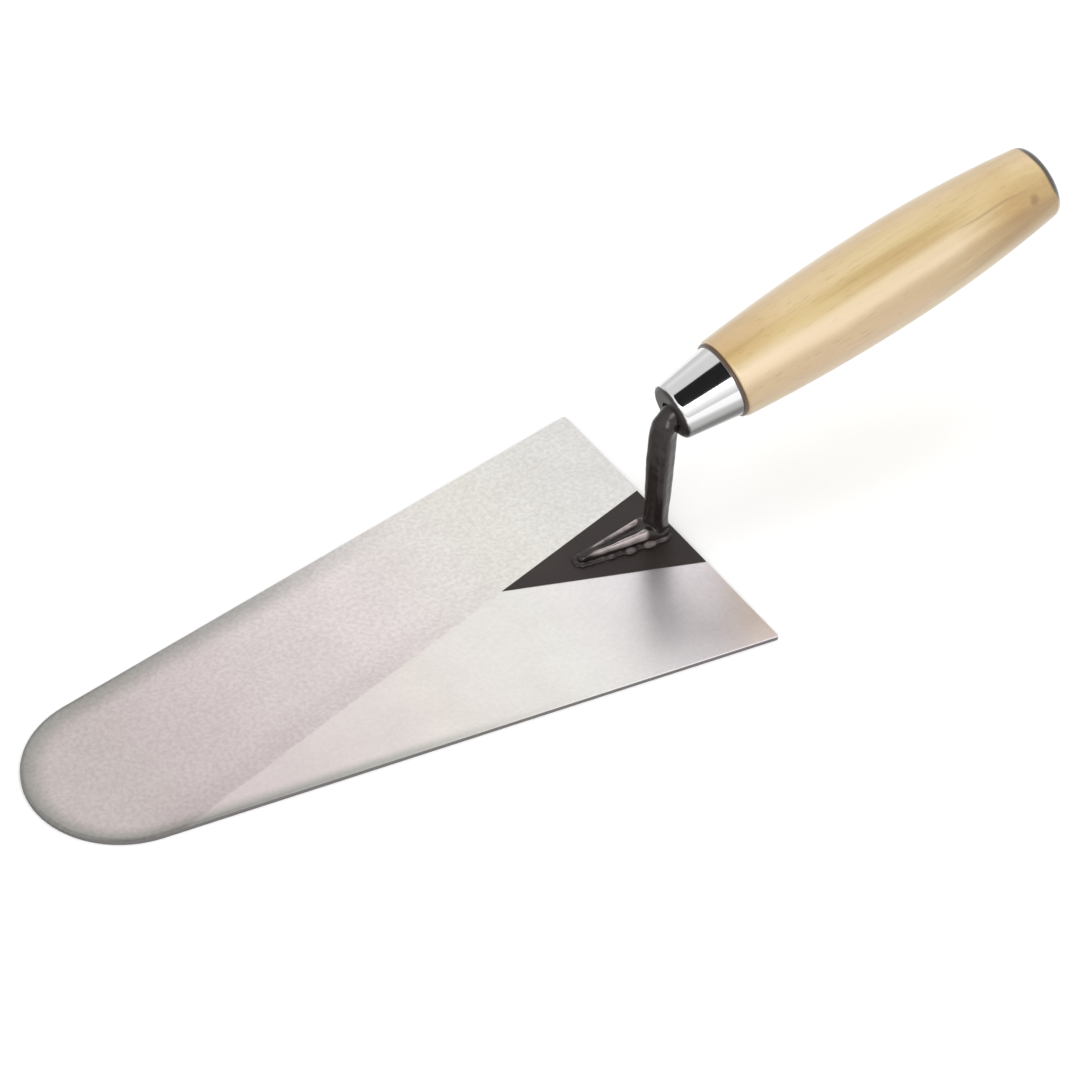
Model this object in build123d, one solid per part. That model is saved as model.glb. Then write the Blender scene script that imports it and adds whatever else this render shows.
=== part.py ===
"""A round-nosed brick trowel: ground steel blade, welded swan-neck tang, drawn ferrule and turned handle.

Millimetres and degrees. +X runs forward to the nose, +Y to the trowel's left and +Z up. The origin
lies on the blade's underside, straight below the point where the tang's neck rises from its foot.
The handle and the ferrule are drawn upright on their own axis, with 0 at the ferrule's mouth, and
then laid on it.
"""

from build123d import *
from math import acos, atan2, cos, degrees, radians, sin, tan
import os

# Blade: a plate with a straight heel, two straight sides and a round nose.
BLADE_LENGTH = 220.0
HEEL_WIDTH = 117.5
NOSE_RADIUS = 30.7
HEEL_CORNER_RADIUS = 0.8
BLADE_THICKNESS = 1.6
BLADE_EDGE_BREAK = 0.2

# The three-cornered patch at the heel that the grinding leaves standing. It is a little skewed,
# because the blade is ground by hand.
PATCH_LENGTH = 59.2
PATCH_LEFT = 20.5
PATCH_RIGHT = 17.4
PATCH_APEX_SKEW = -2.0
PATCH_RISE = 0.15

# Tang: a leaf-shaped foot, a round neck bent back into the handle, and a square spike inside it.
NECK_SETBACK = 5.8
NECK_DIAMETER = 8.0
NECK_LEAN = 4.2
NECK_BEND_RADIUS = 8.0
FOOT_REACH = 27.4
FOOT_HALF_WIDTH = 4.9
FOOT_TIP_RADIUS = 1.3
FOOT_CREST_AT_NECK = 4.6
FOOT_CREST_AT_TIP = 2.3
FOOT_CROWN_RADIUS = 7.0
NECK_FLARE_RADIUS = 3.0
SPIKE_SIDE = 5.5
SPIKE_TIP_SIDE = 2.6
SPIKE_LENGTH = 58.0

# Fillet weld round the foot.
WELD_LEG = 1.7
WELD_SETBACK = 3.0

# The centre of the ferrule's mouth, and how steeply the handle's axis climbs back from it.
MOUTH_AHEAD_OF_HEEL = 0.6
MOUTH_HEIGHT = 46.5
HANDLE_PITCH = 13.0

# Ferrule: a tapered steel cup with a rolled bead at its wide end.
FERRULE_LENGTH = 20.0
FERRULE_MOUTH_RADIUS = 9.0
FERRULE_REAR_RADIUS = 12.0
FERRULE_WALL = 0.9
FERRULE_ROUNDING = 1.8
FERRULE_BEAD_RADIUS = 0.6

# Handle: a turned barrel of two arcs that meet at the belly, with a tapered spigot in the ferrule.
GRIP_LENGTH = 120.0
GRIP_FRONT_RADIUS = 13.1
GRIP_BELLY_RADIUS = 15.95
GRIP_BELLY_AT = 60.0
GRIP_BUTT_RADIUS = 11.9
GRIP_BUTT_DOME = 1.2
GRIP_BUTT_ROUNDING = 3.2
GRIP_SHOULDER_ROUNDING = 1.0
SPIGOT_LENGTH = 16.2
SHANK_DEPTH = 14.0

# Fits.
MOUTH_CLEARANCE = 0.3
SPIGOT_CLEARANCE = 0.05
SHANK_CLEARANCE = 0.05
SPIKE_END_CLEARANCE = 1.0

heel_x = -NECK_SETBACK
nose_centre_x = heel_x + BLADE_LENGTH - NOSE_RADIUS
patch_top = BLADE_THICKNESS + PATCH_RISE
neck_radius = NECK_DIAMETER / 2
spigot_front = FERRULE_LENGTH - SPIGOT_LENGTH
shank_end = spigot_front + SHANK_DEPTH
grip_end = FERRULE_LENGTH + GRIP_LENGTH
rim_height = grip_end - GRIP_BUTT_DOME

handle_direction = Vector(-cos(radians(HANDLE_PITCH)), 0, sin(radians(HANDLE_PITCH)))
mouth_centre = Vector(heel_x + MOUTH_AHEAD_OF_HEEL, 0, MOUTH_HEIGHT)
handle_frame = Plane(origin=mouth_centre, x_dir=(0, 1, 0), z_dir=handle_direction)


def on_handle_axis(solid):
    """Lays a solid that is drawn upright, its axis on Z, onto the handle's axis."""
    return handle_frame.location * solid


def turned(outline):
    """The solid of revolution of a closed outline drawn as (radius, height)."""
    return revolve(Plane.XZ * make_face(outline), Axis.Z)


def rings(solid):
    """The closed edges of a turned solid, in one group for each height, lowest first."""
    return solid.edges().filter_by(lambda edge: edge.is_closed).group_by(Axis.Z)


def outer_tangent(rear, rear_radius, front, front_radius):
    """The line that touches two circles on their left, as seen going from the rear one to the front one."""
    reach = front - rear
    turn = acos((rear_radius - front_radius) / reach.length)
    outward = reach.normalized().rotate(Axis.Z, degrees(turn))
    return Line(rear + outward * rear_radius, front + outward * front_radius)


def symmetric_face(left_edges):
    """The face between a chain of edges on the left of the X axis and its mirror image."""
    return make_face([*left_edges, *[mirror(edge, Plane.XZ) for edge in left_edges]])


def leaf(extra):
    """The foot's outline, wider all round by extra."""
    rear_radius = FOOT_HALF_WIDTH + extra
    tip_radius = FOOT_TIP_RADIUS + extra
    tip_centre = Vector(FOOT_REACH - FOOT_TIP_RADIUS, 0)
    side = outer_tangent(Vector(0, 0), rear_radius, tip_centre, tip_radius)
    rear = TangentArc((-rear_radius, 0), side @ 0, tangent=(0, 1))
    tip = TangentArc(side @ 1, (tip_centre.X + tip_radius, 0), tangent=side % 1)
    return symmetric_face([rear, side, tip])


def blade():
    """The plate, its upper edge broken, with the patch standing on it."""
    corner_centre = Vector(heel_x + HEEL_CORNER_RADIUS, HEEL_WIDTH / 2 - HEEL_CORNER_RADIUS)
    side = outer_tangent(corner_centre, HEEL_CORNER_RADIUS, Vector(nose_centre_x, 0), NOSE_RADIUS)
    heel = Line((heel_x, 0), (heel_x, corner_centre.Y))
    corner = TangentArc(heel @ 1, side @ 0, tangent=(0, 1))
    nose = TangentArc(side @ 1, (nose_centre_x + NOSE_RADIUS, 0), tangent=side % 1)
    plate = extrude(symmetric_face([heel, corner, side, nose]), BLADE_THICKNESS)
    plate = chamfer(plate.faces().sort_by(Axis.Z)[-1].edges(), BLADE_EDGE_BREAK)
    patch_heel_x = heel_x + BLADE_EDGE_BREAK
    patch_corners = [
        (patch_heel_x, PATCH_LEFT),
        (patch_heel_x, -PATCH_RIGHT),
        (heel_x + PATCH_LENGTH, PATCH_APEX_SKEW),
    ]
    return plate + extrude(make_face(Polyline(*patch_corners, close=True)), patch_top)


def neck_path():
    """The neck's centre line: up from the foot, round the bend, then along the handle's axis to the spike."""
    lean_slope = tan(radians(NECK_LEAN))
    pitch_slope = tan(radians(HANDLE_PITCH))
    axis_height = mouth_centre.Z + (mouth_centre.X - patch_top * lean_slope) * pitch_slope
    bend_z = axis_height / (1 - lean_slope * pitch_slope)
    bend = Vector((patch_top - bend_z) * lean_slope, 0, bend_z)
    start = Vector(patch_top * lean_slope, 0, 0)
    shank = handle_frame.from_local_coords(Vector(0, 0, shank_end))
    return FilletPolyline(start, bend, shank, radius=NECK_BEND_RADIUS)


def neck(clearance):
    """The round bar from the blade's underside to the spike, or the tunnel that it passes through."""
    path = neck_path()
    section = Plane(origin=path @ 0, z_dir=path % 0) * Circle(neck_radius + clearance)
    return sweep(section, path)


def flare():
    """The hollow curve that spreads the neck onto the foot, upright, with 0 at the foot's crest."""
    rim = (neck_radius + NECK_FLARE_RADIUS, 0)
    top = (neck_radius, NECK_FLARE_RADIUS)
    core = Polyline(top, (0, top[1]), (0, -FOOT_CREST_AT_NECK), (rim[0], -FOOT_CREST_AT_NECK), rim)
    return turned([*core.edges(), RadiusArc(rim, top, NECK_FLARE_RADIUS)])


def foot():
    """The leaf, its top crowned across and falling towards the tip, and flared up round the neck."""
    fall = atan2(FOOT_CREST_AT_NECK - FOOT_CREST_AT_TIP, FOOT_REACH)
    axis_z = patch_top + FOOT_CREST_AT_NECK - FOOT_CROWN_RADIUS / cos(fall)
    crown_length = 4 * FOOT_REACH
    crown = Pos(0, 0, axis_z) * Rot(0, 90 + degrees(fall), 0) * Cylinder(FOOT_CROWN_RADIUS, crown_length)
    root = Pos(0, 0, patch_top + FOOT_CREST_AT_NECK) * Rot(0, -NECK_LEAN, 0) * flare()
    prism = Pos(0, 0, patch_top) * extrude(leaf(0), FOOT_CREST_AT_NECK + NECK_FLARE_RADIUS)
    return prism & (crown + root)


def spike(clearance, end_clearance):
    """The square taper inside the handle, upright on the handle's axis, or the cavity that it fills."""
    base = Rectangle(SPIKE_SIDE + 2 * clearance, SPIKE_SIDE + 2 * clearance)
    tip = Rectangle(SPIKE_TIP_SIDE + 2 * clearance, SPIKE_TIP_SIDE + 2 * clearance)
    return loft([Pos(0, 0, shank_end) * base, Pos(0, 0, shank_end + SPIKE_LENGTH + end_clearance) * tip])


def tang():
    """Foot, neck, shank and spike, forged from one bar and flat underneath."""
    bar = split(neck(0), Plane(origin=(0, 0, patch_top)), keep=Keep.TOP)
    return bar + foot() + on_handle_axis(spike(0, 0))


def weld_bead():
    """The fillet weld: a sloping skirt along both sides of the foot and round its tip."""
    toe = Pos(0, 0, patch_top) * leaf(WELD_LEG)
    top = Pos(0, 0, patch_top + WELD_LEG) * leaf(0)
    skirt = loft([toe, top], ruled=True)
    core = Pos(0, 0, patch_top) * extrude(leaf(0), 2 * WELD_LEG)
    behind = Pos(-WELD_SETBACK, 0, patch_top) * Box(
        HEEL_WIDTH, HEEL_WIDTH, HEEL_WIDTH, align=(Align.MAX, Align.CENTER, Align.CENTER)
    )
    return skirt - core - behind


def ferrule_inner_radius(height):
    """The inside of the ferrule's taper, which the spigot follows."""
    taper = (FERRULE_REAR_RADIUS - FERRULE_MOUTH_RADIUS) / FERRULE_LENGTH
    return FERRULE_MOUTH_RADIUS - FERRULE_WALL + taper * height


def ferrule():
    """The cup, its end wall pierced for the neck, with a half-round bead rolled at the wide end."""
    cup = turned(
        Polyline(
            (0, 0),
            (FERRULE_MOUTH_RADIUS, 0),
            (FERRULE_REAR_RADIUS, FERRULE_LENGTH),
            (ferrule_inner_radius(FERRULE_LENGTH), FERRULE_LENGTH),
            (ferrule_inner_radius(FERRULE_WALL), FERRULE_WALL),
            (0, FERRULE_WALL),
            close=True,
        )
    )
    cup = fillet(rings(cup)[0], FERRULE_ROUNDING)
    bead_height = FERRULE_LENGTH - FERRULE_BEAD_RADIUS
    bead = Pos(0, 0, bead_height) * Torus(FERRULE_REAR_RADIUS, FERRULE_BEAD_RADIUS)
    return on_handle_axis(cup + bead) - neck(MOUTH_CLEARANCE)


def handle():
    """Spigot, shoulder, barrel and domed butt, bored for the shank and the spike."""
    belly = (GRIP_BELLY_RADIUS, FERRULE_LENGTH + GRIP_BELLY_AT)
    shoulder = (GRIP_FRONT_RADIUS, FERRULE_LENGTH)
    rim = (GRIP_BUTT_RADIUS, rim_height)
    spigot = Polyline(
        (0, grip_end),
        (0, spigot_front),
        (ferrule_inner_radius(spigot_front) - SPIGOT_CLEARANCE, spigot_front),
        (ferrule_inner_radius(FERRULE_LENGTH) - SPIGOT_CLEARANCE, FERRULE_LENGTH),
        shoulder,
    )
    front_arc = TangentArc(belly, shoulder, tangent=(0, -1))
    rear_arc = TangentArc(belly, rim, tangent=(0, 1))
    dome = TangentArc((0, grip_end), rim, tangent=(1, 0))
    wood = turned([*spigot.edges(), front_arc, rear_arc, dome])
    shoulder_rings = rings(wood)[1]
    wood = fillet(shoulder_rings.sort_by(SortBy.RADIUS)[-1], GRIP_SHOULDER_ROUNDING)
    wood = fillet(rings(wood)[-1], GRIP_BUTT_ROUNDING)
    bore = Pos(0, 0, spigot_front) * Cylinder(
        neck_radius + SHANK_CLEARANCE,
        SHANK_DEPTH + SHANK_CLEARANCE,
        align=(Align.CENTER, Align.CENTER, Align.MIN),
    )
    return on_handle_axis(wood - bore - spike(SHANK_CLEARANCE, SPIKE_END_CLEARANCE))


os.makedirs("parts", exist_ok=True)
for piece in (blade, tang, weld_bead, ferrule, handle):
    export_step(piece(), f"parts/{piece.__name__}.step")
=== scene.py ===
"""The look of a brick trowel: ground steel, lacquered forging, chromed ferrule and varnished beech."""

import random
from math import acos, atan2, cos, exp, hypot, pi, radians, sin, sqrt, tan

import bmesh
import bpy
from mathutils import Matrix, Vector, noise


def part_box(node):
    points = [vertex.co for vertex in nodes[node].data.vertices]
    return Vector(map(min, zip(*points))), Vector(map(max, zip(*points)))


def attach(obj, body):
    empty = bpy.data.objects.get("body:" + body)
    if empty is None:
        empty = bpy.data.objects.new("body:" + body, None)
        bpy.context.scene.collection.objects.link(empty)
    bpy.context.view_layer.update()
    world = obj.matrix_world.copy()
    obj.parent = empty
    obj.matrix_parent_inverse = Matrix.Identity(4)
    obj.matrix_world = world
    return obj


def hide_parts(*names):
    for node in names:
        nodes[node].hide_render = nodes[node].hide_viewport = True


MM = 0.001

# Sizes that the CAD nodes share, in metres.
BLADE_LENGTH = 220.0 * MM
HEEL_HALF_WIDTH = 58.75 * MM
NOSE_RADIUS = 30.7 * MM
PATCH_LENGTH = 59.2 * MM
PATCH_RIGHT = 17.4 * MM
PATCH_APEX_SKEW = -2.0 * MM
BLADE_THICKNESS = 1.6 * MM
PATCH_TOP = 1.75 * MM
MOUTH_AHEAD_OF_HEEL = 0.6 * MM
MOUTH_HEIGHT = 46.5 * MM
HANDLE_PITCH = radians(13.0)
FERRULE_LENGTH = 20.0 * MM
GRIP_END = 140.0 * MM
NECK_LEAN = radians(4.2)
NECK_BEND_RADIUS = 9.5 * MM
SHANK_END = 17.8 * MM
SPIKE_LENGTH = 58.0 * MM
LEAF_REAR_RADIUS = 4.9 * MM
LEAF_TIP_RADIUS = 1.3 * MM
LEAF_TIP_X = 26.1 * MM
LEAF_CREST_AT_NECK = 4.6 * MM
LEAF_CREST_AT_TIP = 2.3 * MM
LEAF_FRONT = LEAF_TIP_X + LEAF_TIP_RADIUS
LEAF_SUNK = 0.12 * MM

# The neck's own section: a square with rounded corners, slimmer and set back a little at the foot.
NECK_TWIST = radians(26.0)
NECK_HALF_AT_FOOT = 3.35 * MM
NECK_HALF = 3.8 * MM
NECK_CORNER = 2.3 * MM
FOOT_SHIFT = Vector((-0.30, 0.20, 0)) * MM
FOLD_DEPTH = 0.12 * MM

# The weld's drops. Each larger one is given by its places ahead and to the left, in mm, and its size.
DROP_SPACING = 1.2 * MM
DROP_OUT = 0.75 * MM
DROP_SIZE = Vector((1.5, 1.15, 0.9)) * MM
LARGE_DROPS = ((0.2, 5.9, 1.1), (5.0, 5.6, 1.6), (11.4, 4.8, 1.5), (17.6, 3.7, 1.1))
LARGE_DROP_SIZE = Vector((1.55, 1.0, 0.80)) * MM

# The handle's marks: the bands' direction, as shares of left and down, for a painted highlight band and a
# darker band of grain and painted shade, the knot's place, as up, left and back from the ferrule's mouth,
# and how far left the streak runs.
BAND_ACROSS = (0.77, 0.63)
KNOT_PLACE = (6.5 * MM, 11.4 * MM, 129.5 * MM)
STREAK_LEFT = 9.6 * MM

# The room. The ceiling's two values are the sines of the heights where it starts and is fully dark.
FLOOR_SIZE = 12.0
CEILING_LEAN = radians(20.0)
CEILING_STARTS = sin(radians(59.5))
CEILING_FULL = sin(radians(63.5))
LAMP_ELEVATION = radians(35.0)
LAMP_DISTANCE = 3.4
LAMP_SIZE = (3.0, 1.0)
LAMP_RADIANCE = 5.0
OVERHEAD_PLACE = Vector((0.1, 0.2, 2.7))
OVERHEAD_SIZE = (2.6, 2.6)
OVERHEAD_RADIANCE = 1.35

# The camera stands CAMERA_DISTANCE from a point on the blade's plane, and looks straight at it.
CAMERA_AZIMUTH = radians(147.28)
CAMERA_ELEVATION = radians(43.11)
CAMERA_DISTANCE = 1339.2 * MM
CAMERA_AHEAD_OF_HEEL = 36.5 * MM
CAMERA_ASIDE = -16.3 * MM
CAMERA_LENS = 146.04

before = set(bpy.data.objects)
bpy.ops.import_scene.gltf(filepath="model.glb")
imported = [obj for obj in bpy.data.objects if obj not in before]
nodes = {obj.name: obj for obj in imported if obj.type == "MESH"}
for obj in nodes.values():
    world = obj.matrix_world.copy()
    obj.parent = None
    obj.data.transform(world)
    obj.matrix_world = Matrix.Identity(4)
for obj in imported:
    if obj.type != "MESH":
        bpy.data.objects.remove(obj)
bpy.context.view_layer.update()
heel_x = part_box("blade")[0].x
mouth_centre = Vector((heel_x + MOUTH_AHEAD_OF_HEEL, 0, MOUTH_HEIGHT))
handle_direction = Vector((-cos(HANDLE_PITCH), 0, sin(HANDLE_PITCH)))
towards_camera = Vector((sin(CAMERA_AZIMUTH), -cos(CAMERA_AZIMUTH), 0))
chance = random.Random(7)


# ---------------------------------------------------------------- shaders


class Shader:
    """A node tree, with short calls that add a node and give back its output."""

    def __init__(self, tree, coordinate="Object"):
        self.tree = tree
        self.place = self.node("ShaderNodeTexCoord").outputs[coordinate]

    def node(self, kind, inputs=None, **settings):
        made = self.tree.nodes.new(kind)
        for name, value in settings.items():
            setattr(made, name, value)
        for name, value in (inputs or {}).items():
            self.feed(made.inputs[name], value)
        return made

    def feed(self, socket, value):
        if isinstance(value, bpy.types.NodeSocket):
            self.tree.links.new(value, socket)
        else:
            socket.default_value = value

    def math(self, operation, *values):
        made = self.node("ShaderNodeMath", operation=operation)
        for socket, value in zip(made.inputs, values):
            self.feed(socket, value)
        return made.outputs[0]

    def plus(self, first, second):
        return self.math("ADD", first, second)

    def minus(self, first, second):
        return self.math("SUBTRACT", first, second)

    def times(self, first, second):
        return self.math("MULTIPLY", first, second)

    def line(self, value, slope, start):
        """A straight rule: value times slope, plus start."""
        return self.math("MULTIPLY_ADD", value, slope, start)

    def step(self, value, low, high):
        """0 below low and 1 above high."""
        inputs = {"Value": value, "From Min": low, "From Max": high}
        made = self.node("ShaderNodeMapRange", inputs, interpolation_type="SMOOTHSTEP")
        return made.outputs["Result"]

    def fall(self, value, low, high):
        """1 below low and 0 above high."""
        return self.minus(1.0, self.step(value, low, high))

    def band(self, value, low, high, soft):
        """1 between low and high, and 0 outside them."""
        begun = self.step(value, low - soft, low + soft)
        return self.minus(begun, self.step(value, high - soft, high + soft))

    def mix(self, share, first, second, blend="MIX"):
        made = self.node("ShaderNodeMix", data_type="RGBA", blend_type=blend)
        for socket, value in zip((made.inputs[0], made.inputs[6], made.inputs[7]), (share, first, second)):
            self.feed(socket, value)
        return made.outputs[2]

    def stain(self, colour, where, strength, tint, blend="MIX"):
        """Lays a tint over a colour, with the strength given where it is full."""
        return self.mix(self.times(where, strength), colour, (*tint, 1.0), blend)

    def ramp(self, value, *stops):
        made = self.node("ShaderNodeValToRGB", {"Fac": value})
        while len(made.color_ramp.elements) < len(stops):
            made.color_ramp.elements.new(0.5)
        for element, (position, colour) in zip(made.color_ramp.elements, stops):
            element.position = position
            element.color = (*colour, 1.0)
        return made.outputs["Color"]

    def scaled(self, vector, x, y, z):
        return self.node("ShaderNodeMapping", {"Vector": vector, "Scale": (x, y, z)}).outputs["Vector"]

    def noise(self, vector, scale, detail=3.0, roughness=0.5, distortion=0.0):
        inputs = {"Vector": vector, "Scale": scale, "Detail": detail, "Roughness": roughness}
        inputs["Distortion"] = distortion
        return self.node("ShaderNodeTexNoise", inputs).outputs["Fac"]

    def split(self, vector):
        made = self.node("ShaderNodeSeparateXYZ", {"Vector": vector})
        return made.outputs["X"], made.outputs["Y"], made.outputs["Z"]

    def bump(self, height, distance):
        return self.node("ShaderNodeBump", {"Height": height, "Distance": distance}).outputs["Normal"]


class Finish(Shader):
    """A material with one Principled shader."""

    def __init__(self, name):
        self.material = bpy.data.materials.new(name)
        self.material.use_nodes = True
        super().__init__(self.material.node_tree)
        self.surface = self.tree.nodes["Principled BSDF"]

    def set(self, values):
        for name, value in values.items():
            self.feed(self.surface.inputs[name], value)

    def along_handle(self):
        """The place on the handle's own axes: X up, Y to the left, Z back from the ferrule's mouth."""
        turn = (0.0, HANDLE_PITCH - pi / 2, 0.0)
        inputs = {"Vector": self.place, "Location": mouth_centre, "Rotation": turn}
        return self.node("ShaderNodeMapping", inputs, vector_type="TEXTURE").outputs["Vector"]


def grey(value):
    return (value, value, value, 1.0)


def from_edge(steel, ahead, y):
    """How far a place on the blade, ahead of the heel and to the left, lies inside the plate's outline."""
    centre = BLADE_LENGTH - NOSE_RADIUS
    taper = acos(NOSE_RADIUS / hypot(centre, HEEL_HALF_WIDTH)) - atan2(centre, HEEL_HALF_WIDTH)
    aside = steel.math("ABSOLUTE", y)
    out = steel.line(ahead, sin(taper), steel.times(aside, cos(taper)))
    side_gap = steel.minus(HEEL_HALF_WIDTH * cos(taper), out)
    forward = steel.minus(ahead, centre)
    reach = steel.math("SQRT", steel.line(forward, forward, steel.times(y, y)))
    nose_gap = steel.minus(NOSE_RADIUS, reach)
    along = steel.minus(steel.times(ahead, cos(taper)), steel.times(aside, sin(taper)))
    round_nose = steel.math("GREATER_THAN", along, centre * cos(taper))
    return steel.line(steel.minus(nose_gap, side_gap), round_nose, side_gap)


def darkened_edge(steel, ground, ahead, y):
    """Darkens the top towards the edge near the nose, more widely on the right, and more again in a thin
    strip at the very edge.
    """
    gap = from_edge(steel, ahead, y)
    width = steel.math("MINIMUM", steel.line(y, -0.10, 8.0 * MM), 10.5 * MM)
    width = steel.math("MAXIMUM", width, 3.0 * MM)
    tint_share = steel.times(steel.fall(gap, 0.3 * MM, width), steel.step(ahead, 55.0 * MM, 135.0 * MM))
    ground = steel.mix(tint_share, ground, (0.60, 0.655, 0.625, 1.0), "MULTIPLY")
    lip = steel.times(steel.fall(gap, 0.4 * MM, 1.5 * MM), steel.step(ahead, 130.0 * MM, 200.0 * MM))
    return steel.mix(lip, ground, grey(0.72), "MULTIPLY")


def ground_steel():
    """Belt-ground steel, brighter on the left of the grinding line and darker towards the nose in painted
    reflection, and the lacquered patch at the heel.
    """
    steel = Finish("ground_steel")
    x, y, z = steel.split(steel.place)
    ahead = steel.minus(x, heel_x)
    # The grinding line runs on from the patch's right-hand side.
    run = Vector((PATCH_LENGTH, PATCH_RIGHT + PATCH_APEX_SKEW)).normalized()
    aside = steel.times(steel.plus(y, PATCH_RIGHT), run.x)
    across = steel.minus(aside, steel.times(ahead, run.y))
    wander = steel.line(steel.noise(steel.place, 90.0, 2.0), 1.2 * MM, -0.6 * MM)
    near = steel.step(steel.plus(across, wander), -0.5 * MM, 0.5 * MM)
    patch = steel.step(z, BLADE_THICKNESS + 0.01 * MM, BLADE_THICKNESS + 0.03 * MM)
    side = steel.band(z, 0.12 * MM, BLADE_THICKNESS - 0.22 * MM, 0.03 * MM)

    cloud = steel.noise(steel.place, 42.0, 6.0, 0.62)
    fleck = steel.noise(steel.place, 700.0, 3.0, 0.6)
    scratch = steel.noise(steel.scaled(steel.place, 35.0, 2200.0, 2200.0), 1.0, 2.0)
    along = steel.step(x, heel_x, heel_x + 215.0 * MM)
    # Painted reflection: the facets either side of the grinding line get a lighter and a darker colour, for
    # the light their slightly different tilts mirror, and both darken towards the nose.
    far_facet_painted_reflection = steel.ramp(
        along,
        (0.0, (0.93, 0.92, 0.89)),
        (0.12, (0.96, 0.94, 0.88)),
        (0.45, (0.94, 0.865, 0.86)),
        (0.8, (0.81, 0.72, 0.72)),
        (1.0, (0.70, 0.63, 0.615)),
    )
    painted_reflection = steel.ramp(
        along,
        (0.0, (0.95, 0.90, 0.93)),
        (0.17, (0.955, 0.94, 0.90)),
        (0.46, (0.92, 0.865, 0.825)),
        (0.84, (0.80, 0.715, 0.71)),
        (1.0, (0.77, 0.69, 0.675)),
    )
    # Painted reflection: the right-hand facet is darker still beside the grinding line, from about 60 mm
    # ahead of the heel on.
    beside = steel.step(across, -14.0 * MM, -2.0 * MM)
    beside = steel.times(beside, steel.step(ahead, 60.0 * MM, 110.0 * MM))
    far_facet_painted_reflection = steel.mix(beside, far_facet_painted_reflection, (0.92, 0.91, 0.915, 1.0), "MULTIPLY")
    ground = darkened_edge(steel, steel.mix(near, far_facet_painted_reflection, painted_reflection), ahead, y)
    clouded = steel.ramp(cloud, (0.32, (0.66, 0.62, 0.62)), (0.62, (1.0, 1.0, 1.0)))
    ground = steel.mix(0.20, ground, clouded, "MULTIPLY")
    flecked = steel.ramp(fleck, (0.36, (0.50, 0.45, 0.45)), (0.64, (1.0, 1.0, 1.0)))
    ground = steel.mix(steel.mix(near, grey(0.26), grey(0.10)), ground, flecked, "MULTIPLY")
    ground = steel.mix(side, ground, (0.22, 0.21, 0.21, 1.0))
    lacquer = steel.ramp(cloud, (0.3, (0.019, 0.0125, 0.0115)), (0.7, (0.032, 0.0225, 0.020)))

    roughness = steel.mix(near, steel.line(cloud, 0.14, 0.29), steel.line(cloud, 0.12, 0.25))
    roughness = steel.mix(side, roughness, grey(0.5))
    steel.set(
        {
            "Base Color": steel.mix(patch, ground, lacquer),
            "Metallic": steel.minus(1.0, patch),
            "Roughness": steel.mix(patch, roughness, grey(0.42)),
            # Ground metal reflects less at a low angle. The level makes up for that on the lacquer.
            "Specular Tint": grey(0.6),
            "Specular IOR Level": 0.53,
            "Normal": steel.bump(steel.line(cloud, 6.0, scratch), 0.0025 * MM),
        }
    )
    return steel.material


def black_lacquer(name, wear_and_glint_strength, gloss):
    """Glossy brown-black lacquer, bared to the steel where the mesh's mark is high: partly real abrasion,
    and partly a painted highlight on the rims and drops.
    """
    coat = Finish(name)
    cloud = coat.noise(coat.place, 160.0, 3.0)
    peel = coat.noise(coat.place, 900.0, 2.0)
    dark = coat.ramp(cloud, (0.3, (0.012, 0.008, 0.0075)), (0.7, (0.022, 0.016, 0.0145)))
    wear_and_glint = coat.node("ShaderNodeAttribute", attribute_name="wear_and_glint").outputs["Fac"]
    # The pinkish bared steel is partly abrasion and partly a painted highlight.
    tint_share = coat.times(coat.step(coat.line(cloud, 0.9, wear_and_glint), 0.70, 1.35), wear_and_glint_strength)
    coat.set(
        {
            "Base Color": coat.mix(tint_share, dark, (0.50, 0.43, 0.43, 1.0)),
            "Metallic": coat.times(tint_share, 0.7),
            "Roughness": coat.line(peel, 0.12, gloss),
            "Specular IOR Level": 0.42,
            "Normal": coat.bump(coat.line(cloud, 4.0, peel), 0.010 * MM),
        }
    )
    return coat.material


def chrome_plate():
    """Bright chrome, with painted reflection and shade: brown in the crease by the bead, near black round
    the mouth, and in darker bands along the lower side.
    """
    plate = Finish("chrome_plate")
    up, _, along = plate.split(plate.along_handle())
    haze = plate.noise(plate.place, 300.0, 3.0)
    # Painted reflection and shade: the bead's ring is brown for the wood and the shaded crease it mirrors,
    # and the mouth is near black for the dark it mirrors.
    rim = plate.step(along, FERRULE_LENGTH - 1.35 * MM, FERRULE_LENGTH - 1.15 * MM)
    mouth = plate.fall(plate.line(haze, 0.8 * MM, along), 0.9 * MM, 1.5 * MM)
    painted_dark = plate.math("MAXIMUM", rim, mouth)
    shade = plate.mix(rim, (0.016, 0.012, 0.011, 1.0), (0.085, 0.052, 0.036, 1.0))
    # The chrome's colour is a painted reflection: darker bands along the lower side stand for the darker
    # things mirrored there. The ramp's stops are heights, from
    # 9 mm below the handle's axis to 3 mm above it.
    painted_reflection = plate.ramp(
        plate.line(up, 1.0 / (12.0 * MM), 0.75),
        (0.08, (0.70, 0.70, 0.70)),
        (0.42, (0.15, 0.15, 0.15)),
        (0.60, (0.17, 0.17, 0.17)),
        (0.72, (0.38, 0.38, 0.38)),
        (0.87, (0.46, 0.46, 0.46)),
        (0.97, (0.80, 0.80, 0.81)),
    )
    plate.set(
        {
            "Base Color": plate.mix(painted_dark, painted_reflection, shade),
            "Metallic": plate.line(painted_dark, -0.9, 1.0),
            "Roughness": plate.mix(painted_dark, plate.line(haze, 0.07, 0.04), grey(0.32)),
            "Normal": plate.bump(plate.noise(plate.place, 110.0, 2.0), 0.012 * MM),
        }
    )
    return plate.material


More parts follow.
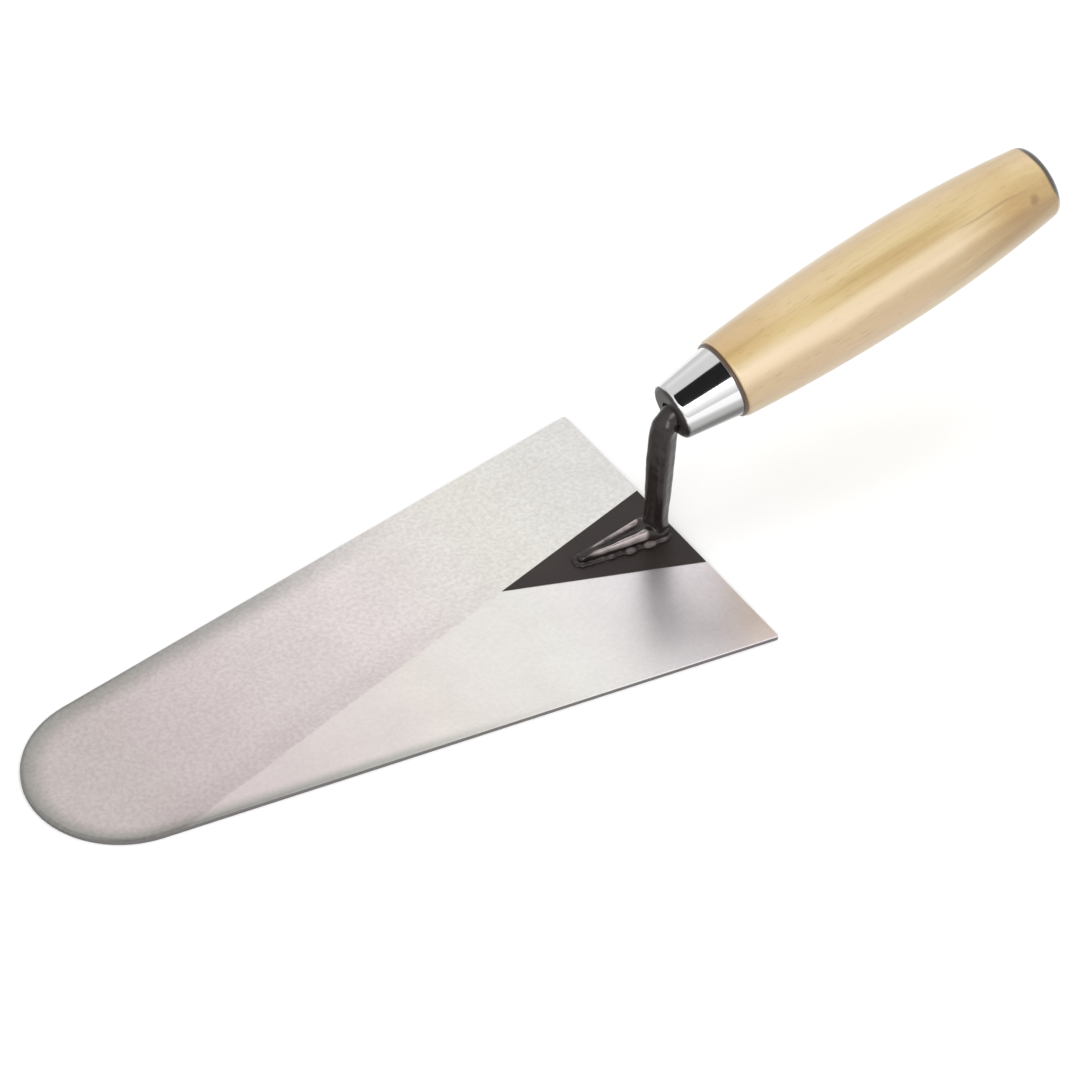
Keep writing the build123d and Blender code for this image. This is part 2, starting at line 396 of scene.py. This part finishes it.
def varnished_beech():
    """Turned beech under clear varnish: long growth rings, short dark rays, fine pores and one knot."""
    wood = Finish("varnished_beech")
    place = wood.along_handle()
    up, left, back = wood.split(place)
    rings = wood.noise(wood.scaled(place, 190.0, 190.0, 5.0), 1.0, 3.0, 0.55, 0.6)
    tint = wood.noise(wood.scaled(place, 60.0, 60.0, 9.0), 1.0, 2.0)
    rays = wood.noise(wood.scaled(place, 1300.0, 1300.0, 190.0), 1.0, 2.0)
    pores = wood.noise(wood.scaled(place, 3200.0, 3200.0, 110.0), 1.0, 1.0)
    wave = wood.noise(wood.scaled(place, 20.0, 20.0, 28.0), 1.0, 2.0)

    colour = wood.ramp(
        rings,
        (0.28, (0.41, 0.275, 0.105)),
        (0.5, (0.53, 0.395, 0.185)),
        (0.72, (0.58, 0.45, 0.235)),
    )
    colour = wood.stain(colour, wood.step(tint, 0.42, 0.62), 0.8, (0.60, 0.44, 0.255))
    colour = wood.stain(colour, wood.step(wave, 0.52, 0.70), 0.7, (0.50, 0.335, 0.13))
    colour = wood.stain(colour, wood.step(rays, 0.60, 0.70), 0.30, (0.34, 0.20, 0.08))
    colour = wood.stain(colour, wood.step(pores, 0.62, 0.75), 0.22, (0.30, 0.18, 0.07))

    # A paler, pinker band along the left side is a painted highlight, fading before the butt; beside it, a
    # darker band is partly the wood's figure and partly painted shade.
    sway = wood.line(wave, 5.0 * MM, -2.5 * MM)
    lower = wood.minus(wood.times(left, BAND_ACROSS[0]), wood.times(up, BAND_ACROSS[1]))
    turned = wood.plus(lower, sway)
    painted_highlight_band = wood.band(turned, -0.5 * MM, 6.0 * MM, 2.5 * MM)
    painted_highlight_band = wood.times(painted_highlight_band, wood.fall(back, 98.0 * MM, 122.0 * MM))
    colour = wood.stain(colour, painted_highlight_band, 0.6, (0.62, 0.50, 0.345))
    heart_and_shade = wood.step(turned, 4.0 * MM, 7.5 * MM)
    colour = wood.stain(colour, heart_and_shade, 0.62, (0.64, 0.60, 0.61), "MULTIPLY")

    # The wood is browner by the butt's lower left and on top by the ferrule.
    brown = wood.times(wood.step(turned, -4.0 * MM, 3.0 * MM), wood.step(back, 98.0 * MM, 128.0 * MM))
    colour = wood.stain(colour, brown, 0.85, (0.74, 0.64, 0.47), "MULTIPLY")
    amber = wood.times(wood.fall(turned, -5.0 * MM, 0.5 * MM), wood.fall(back, 26.0 * MM, 48.0 * MM))
    colour = wood.stain(colour, amber, 0.8, (0.88, 0.81, 0.70), "MULTIPLY")

    # A thin dark streak runs into a small knot near the butt.
    streak = wood.plus(wood.minus(left, STREAK_LEFT), sway)
    thin = wood.times(wood.band(streak, -0.28 * MM, 0.28 * MM, 0.25 * MM), wood.step(up, 0.0, 2.0 * MM))
    thin = wood.times(thin, wood.band(back, 104.0 * MM, 127.0 * MM, 6.0 * MM))
    colour = wood.stain(colour, thin, 0.5, (0.24, 0.15, 0.055))
    spot = wood.node("ShaderNodeVectorMath", {0: place, 1: KNOT_PLACE}, operation="DISTANCE")
    knot = wood.fall(wood.line(rays, 2.2 * MM, spot.outputs["Value"]), 1.7 * MM, 3.5 * MM)
    colour = wood.stain(colour, knot, 0.75, (0.22, 0.12, 0.04))

    # The butt's end is near black, and the dark stops a little nearer its end on the lower left.
    low = wood.times(wood.step(lower, 5.0 * MM, 11.0 * MM), -1.6 * MM)
    brink = wood.line(tint, 2.0 * MM, wood.plus(back, low))
    dark_end = wood.step(brink, GRIP_END - 2.9 * MM, GRIP_END - 1.9 * MM)
    colour = wood.mix(dark_end, colour, (0.030, 0.022, 0.016, 1.0))
    wood.set(
        {
            "Base Color": colour,
            "Roughness": wood.line(rings, 0.10, 0.36),
            "Coat Weight": 1.0,
            "Coat Roughness": 0.3,
            "Normal": wood.bump(wood.plus(rings, pores), 0.012 * MM),
        }
    )
    return wood.material


# ---------------------------------------------------------------- shapes


def gauss(value, centre, width):
    """1 at the centre, falling off either side."""
    return exp(-(((value - centre) / width) ** 2))


def smoothstep(value, low, high):
    """0 below low and 1 above high."""
    share = min(1.0, max(0.0, (value - low) / (high - low)))
    return share * share * (3 - 2 * share)


def between(first, last, share):
    return first + (last - first) * share


def rounded_square(half, corner, steps=7):
    """Points round a square of the given half side, whose corners have the given radius."""
    points = []
    for quarter in range(4):
        middle = pi / 4 + quarter * pi / 2
        centre = Vector((cos(middle), sin(middle))) * sqrt(2) * (half - corner)
        for step in range(steps + 1):
            angle = middle - pi / 4 + step / steps * pi / 2
            points.append(centre + Vector((cos(angle), sin(angle))) * corner)
    return points


def skin(target, rings):
    """Adds a closed tube through the rings, each a loop of as many points, to the bmesh."""
    loops = [[target.verts.new(point) for point in ring] for ring in rings]
    count = len(loops[0])
    for low, high in zip(loops, loops[1:]):
        for i in range(count):
            j = (i + 1) % count
            target.faces.new((low[i], low[j], high[j], high[i]))
    target.faces.new(list(reversed(loops[0])))
    target.faces.new(loops[-1])


def neck_stations(rising=30, bending=16):
    """Places along the neck and the spike: the centre, direction, half side and corner radius of each."""
    rise = Vector((-sin(NECK_LEAN), 0, cos(NECK_LEAN)))
    foot = Vector((0, 0, PATCH_TOP))
    # The neck's line and the handle's axis meet at the corner that the bend rounds off.
    reach = mouth_centre - foot
    crossing = rise.x * handle_direction.z - rise.z * handle_direction.x
    length = (reach.x * handle_direction.z - reach.z * handle_direction.x) / crossing
    corner = foot + rise * length
    turn = rise.angle(handle_direction)
    setback = NECK_BEND_RADIUS * tan(turn / 2)
    inward = handle_direction - rise * handle_direction.dot(rise)
    centre = corner - rise * setback + inward.normalized() * NECK_BEND_RADIUS
    outward = -inward.normalized()
    stations = []
    for i in range(rising + 1):
        height = i / rising * (length - setback)
        flare = 0.35 * MM * exp(-max(0.0, height - 2.5 * MM) / (2.0 * MM))
        half = between(NECK_HALF_AT_FOOT, NECK_HALF, smoothstep(height, 3 * MM, 27 * MM)) + flare
        aside = FOOT_SHIFT * (1 - smoothstep(height, 8 * MM, 30 * MM))
        stations.append((foot + rise * height + aside, rise, half, NECK_CORNER))
    for i in range(1, bending + 1):
        share = i / bending
        angle = turn * share
        outwards = outward * cos(angle) + rise * sin(angle)
        along = rise * cos(angle) - outward * sin(angle)
        fold = FOLD_DEPTH * (gauss(share, 0.30, 0.10) - gauss(share, 0.48, 0.06))
        half = NECK_HALF - 0.1 * MM * share + fold
        edge = NECK_CORNER + 1.3 * MM * smoothstep(share, 0.15, 0.6)
        stations.append((centre + outwards * NECK_BEND_RADIUS, along, half, edge))
    shank_end = mouth_centre + handle_direction * SHANK_END
    stations.append((shank_end, handle_direction, 3.7 * MM, 3.6 * MM))
    stations.append((shank_end + handle_direction * 1.5 * MM, handle_direction, 2.75 * MM, 0.6 * MM))
    stations.append((shank_end + handle_direction * SPIKE_LENGTH, handle_direction, 1.3 * MM, 0.4 * MM))
    return stations


def leaf_half_width(x):
    """Half the leaf's width, between its rear circle and its tip circle."""
    taper = (LEAF_REAR_RADIUS - LEAF_TIP_RADIUS) / LEAF_TIP_X
    rise = sqrt(1 - taper * taper)
    if x < LEAF_REAR_RADIUS * taper:
        return sqrt(max(0.0, LEAF_REAR_RADIUS**2 - x * x))
    if x > LEAF_TIP_X + LEAF_TIP_RADIUS * taper:
        return sqrt(max(0.0, LEAF_TIP_RADIUS**2 - (x - LEAF_TIP_X) ** 2))
    return (LEAF_REAR_RADIUS - taper * x) / rise


def leaf_height(x, share):
    """The leaf's height over the patch: two rims with a flute between them, at a share of the width."""
    crest = between(LEAF_CREST_AT_NECK, LEAF_CREST_AT_TIP, max(0.0, x) / LEAF_FRONT)
    crest *= 0.25 + 0.75 * smoothstep(x, -3.5 * MM, 5 * MM)
    middle = (LEAF_FRONT - LEAF_REAR_RADIUS) / 2
    ends = max(0.0, 1 - abs((x - middle) / (LEAF_FRONT - middle)) ** 14) ** 0.5
    sides = max(0.0, 1 - abs(share) ** 7) ** 0.5
    flute = 1.35 * MM * smoothstep(x, 2 * MM, 8 * MM) * (1 - smoothstep(x, 15 * MM, 24 * MM))
    bump = 0.25 * MM * gauss(x, 9 * MM, 3 * MM) * gauss(share, 0.1, 0.3)
    return crest * ends * sides - flute * max(0.0, 1 - (share / 0.60) ** 2) ** 1.2 + bump


def leaf_rings(slices=90, half_points=16):
    """Sections across the leaf, closer together at its two ends, with their points closer at its sides."""
    under_shares = (0.98, 0.5, 0.0, -0.5, -0.98)
    rings = []
    for i in range(1, slices):
        x = -LEAF_REAR_RADIUS + (LEAF_FRONT + LEAF_REAR_RADIUS) * (1 - cos(pi * i / slices)) / 2
        width = leaf_half_width(x)
        shares = [sin(pi / 2 * (j / half_points - 1)) for j in range(2 * half_points + 1)]
        top = [Vector((x, width * share, PATCH_TOP + leaf_height(x, share))) for share in shares]
        under = [Vector((x, width * share, PATCH_TOP - LEAF_SUNK)) for share in under_shares]
        rings.append(top + under)
    return rings


def piece_from(mesh, name):
    body = bpy.data.meshes.new(name)
    mesh.normal_update()
    mesh.to_mesh(body)
    mesh.free()
    piece = bpy.data.objects.new(name, body)
    bpy.context.scene.collection.objects.link(piece)
    return piece


def melt(piece, voxel, rounds):
    """Joins a piece's overlapping shells into one skin and smooths it."""
    remesh = piece.modifiers.new("melt", "REMESH")
    remesh.mode = "VOXEL"
    remesh.voxel_size = voxel
    smooth = piece.modifiers.new("smooth", "SMOOTH")
    smooth.factor = 0.5
    smooth.iterations = rounds
    melted = bpy.data.meshes.new_from_object(piece.evaluated_get(bpy.context.evaluated_depsgraph_get()))
    piece.modifiers.clear()
    piece.data = melted
    for face in melted.polygons:
        face.use_smooth = True


def dent(piece, depth, scale):
    """Gives the skin a forged unevenness outside the ferrule."""
    normals = [vertex.normal.copy() for vertex in piece.data.vertices]
    for vertex, normal in zip(piece.data.vertices, normals):
        inside = (vertex.co - mouth_centre).dot(handle_direction)
        if inside < 0 and vertex.co.z > PATCH_TOP + 0.4 * MM:
            fade = min(1.0, -inside / (2 * MM))
            vertex.co += normal * depth * fade * noise.fractal(vertex.co * scale, 1.0, 2.0, 3)


def mark_wear_and_glint(piece, rule):
    """Writes how far the lacquer is abraded away at each place, and how much painted highlight it carries,
    by the rule for the piece.
    """
    wear_and_glint = piece.data.attributes.new("wear_and_glint", "FLOAT", "POINT")
    for vertex, value in zip(piece.data.vertices, wear_and_glint.data):
        value.value = rule(*vertex.co)


def leaf_wear_and_glint(x, y, z):
    """Most on the leaf's two rims, least in its flute: partly abrasion and partly a painted highlight,
    strongest near the neck and fainter on the right rim.
    """
    share = abs(y) / max(leaf_half_width(x), 0.5 * MM)
    on_rim = gauss(share, 0.70, 0.34)
    on_rim *= smoothstep(z, PATCH_TOP + 1.0 * MM, PATCH_TOP + 1.7 * MM)
    fade = 1.15 - 0.40 * smoothstep(x, 6 * MM, 17 * MM) - 0.35 * smoothstep(x, 19 * MM, 26 * MM)
    fade -= 0.12 if y < 0 else 0.0
    return on_rim * smoothstep(x, 2.5 * MM, 6 * MM) * fade


def bead_wear_and_glint(x, y, z):
    """On the tops of the larger drops on the left, and round the leaf's tip: partly abrasion and partly a
    painted highlight.
    """
    side = max(smoothstep(y, 1.5 * MM, 2.5 * MM), smoothstep(x, 23 * MM, 26 * MM))
    return 0.58 * side * smoothstep(z, PATCH_TOP + 0.2 * MM, PATCH_TOP + 1.4 * MM)


def forged_tang():
    """The leaf, the neck and the spike, melted into one forging."""
    shape = bmesh.new()
    skin(shape, leaf_rings())
    rings = []
    for centre, along, half, corner in neck_stations():
        left = Vector((0, 1, 0))
        across = left * cos(NECK_TWIST) + along.cross(left) * sin(NECK_TWIST)
        other = along.cross(across)
        rings.append([centre + across * p.x + other * p.y for p in rounded_square(half, corner)])
    skin(shape, rings)
    piece = piece_from(shape, "forged_tang")
    melt(piece, 0.26 * MM, 3)
    dent(piece, 0.16 * MM, 160)
    mark_wear_and_glint(piece, leaf_wear_and_glint)
    return piece


def lump(target, centre, sizes, turn):
    """Adds one drop of weld metal, an ellipsoid turned about the vertical."""
    made = bmesh.ops.create_icosphere(target, subdivisions=3, radius=1.0)
    for vertex in made["verts"]:
        x, y, z = (part * size for part, size in zip(vertex.co, sizes))
        vertex.co = centre + Vector((x * cos(turn) - y * sin(turn), x * sin(turn) + y * cos(turn), z))


def leaf_outline(rear=3.0 * MM, steps=400):
    """Points along both of the leaf's sides and round its tip, from the left of the neck to its right."""
    left = []
    for i in range(steps):
        x = -rear + (LEAF_FRONT + rear) * sin(pi / 2 * i / (steps - 1))
        left.append(Vector((x, leaf_half_width(x), 0)))
    return left + [Vector((p.x, -p.y, 0)) for p in reversed(left)]


def rippled_weld():
    """The bead round the leaf, laid drop by drop, and the larger drops that the welder left on its left."""
    shape = bmesh.new()
    outline = leaf_outline()
    gone, last = 0.0, outline[0]
    for point in outline[1:]:
        gone += (point - last).length
        if gone < DROP_SPACING:
            last = point
            continue
        heading = atan2(point.y - last.y, point.x - last.x)
        outward = Vector((-sin(heading), cos(heading), 0))
        size = chance.uniform(0.9, 1.1)
        centre = point + outward * DROP_OUT + Vector((0, 0, PATCH_TOP + chance.uniform(-0.1, 0.2) * MM))
        lump(shape, centre, DROP_SIZE * size, heading)
        gone, last = 0.0, point
    for x, y, size in LARGE_DROPS:
        spot = Vector((x * MM, y * MM, PATCH_TOP + 0.25 * MM))
        lump(shape, spot, LARGE_DROP_SIZE * size, radians(-8))
    piece = piece_from(shape, "rippled_weld")
    melt(piece, 0.2 * MM, 12)
    for vertex in piece.data.vertices:
        vertex.co.z = max(vertex.co.z, PATCH_TOP - 0.1 * MM)
    mark_wear_and_glint(piece, bead_wear_and_glint)
    return piece


# ---------------------------------------------------------------- the room


def floor():
    """The pale floor that the trowel lies on."""
    bpy.ops.mesh.primitive_plane_add(size=FLOOR_SIZE)
    plane = bpy.context.object
    plane.name = "floor"
    paint = Finish("floor_paint")
    paint.set({"Base Color": grey(0.93), "Roughness": 0.9})
    plane.data.materials.append(paint.material)


def softbox(name, location, size, radiance, glossy):
    """A rectangular lamp that faces the trowel. The views' cameras don't see it."""
    lamp = bpy.data.lights.new(name, "AREA")
    lamp.shape = "RECTANGLE"
    lamp.size, lamp.size_y = size
    lamp.energy = radiance * pi * size[0] * size[1]
    holder = bpy.data.objects.new(name, lamp)
    bpy.context.scene.collection.objects.link(holder)
    holder.location = location
    holder.rotation_mode = "QUATERNION"
    holder.rotation_quaternion = (-location).to_track_quat("-Z", "Y")
    holder.visible_camera = False
    holder.visible_glossy = glossy
    return holder


def studio():
    """Bright walls all round under a dark ceiling, a soft lamp in front and a wide one overhead."""
    world = bpy.data.worlds.new("studio")
    bpy.context.scene.world = world
    world.use_nodes = True
    sky = Shader(world.node_tree, "Generated")
    x, y, z = sky.split(sky.place)
    ahead = sky.line(y, towards_camera.y, sky.times(x, towards_camera.x))
    # The dark ceiling leans towards the camera's side.
    height = sky.line(z, cos(CEILING_LEAN), sky.times(ahead, sin(CEILING_LEAN)))
    ceiling = sky.step(height, CEILING_STARTS, CEILING_FULL)
    rear = sky.mix(sky.step(z, 0.28, 0.50), grey(0.74), grey(0.93))
    rear = sky.mix(sky.step(x, 0.0, 0.12), rear, grey(0.78))
    front = sky.mix(sky.step(z, 0.05, 0.40), grey(0.82), grey(1.15))
    wall = sky.mix(sky.step(ahead, -0.10, 0.30), rear, front)
    sky.feed(world.node_tree.nodes["Background"].inputs["Color"], sky.mix(ceiling, wall, grey(0.02)))

    direction = towards_camera * cos(LAMP_ELEVATION) + Vector((0, 0, sin(LAMP_ELEVATION)))
    lamp = softbox("front_lamp", direction * LAMP_DISTANCE, LAMP_SIZE, LAMP_RADIANCE, True)
    # A flag keeps this lamp off the blade, which would mirror it as plain white from behind.
    flagged = bpy.data.collections.new("flagged")
    flagged.objects.link(nodes["blade"])
    flagged.collection_objects[0].light_linking.link_state = "EXCLUDE"
    lamp.light_linking.receiver_collection = flagged
    softbox("ceiling_lamp", OVERHEAD_PLACE, OVERHEAD_SIZE, OVERHEAD_RADIANCE, False)


def camera():
    """The camera, which looks down at the trowel from ahead and its left."""
    lens = bpy.data.cameras.new("camera")
    lens.sensor_width = 36.0
    lens.lens = CAMERA_LENS
    lens.clip_start = 0.05
    lens.clip_end = 50.0
    holder = bpy.data.objects.new("camera", lens)
    bpy.context.scene.collection.objects.link(holder)
    back = towards_camera * cos(CAMERA_ELEVATION) + Vector((0, 0, sin(CAMERA_ELEVATION)))
    holder.location = Vector((heel_x + CAMERA_AHEAD_OF_HEEL, CAMERA_ASIDE, 0)) + back * CAMERA_DISTANCE
    holder.rotation_mode = "QUATERNION"
    holder.rotation_quaternion = (-back).to_track_quat("-Z", "Y")
    bpy.context.scene.camera = holder


for node, finish in (("blade", ground_steel), ("ferrule", chrome_plate), ("handle", varnished_beech)):
    nodes[node].data.materials.clear()
    nodes[node].data.materials.append(finish())

tang = forged_tang()
tang.data.materials.append(black_lacquer("tang_lacquer", wear_and_glint_strength=1.0, gloss=0.17))
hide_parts("tang")
weld = rippled_weld()
weld.data.materials.append(black_lacquer("weld_lacquer", wear_and_glint_strength=0.42, gloss=0.28))
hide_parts("weld_bead")
for piece in (tang, weld):
    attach(piece, "root")

floor()
studio()
camera()
bpy.context.scene.view_settings.view_transform = "Standard"
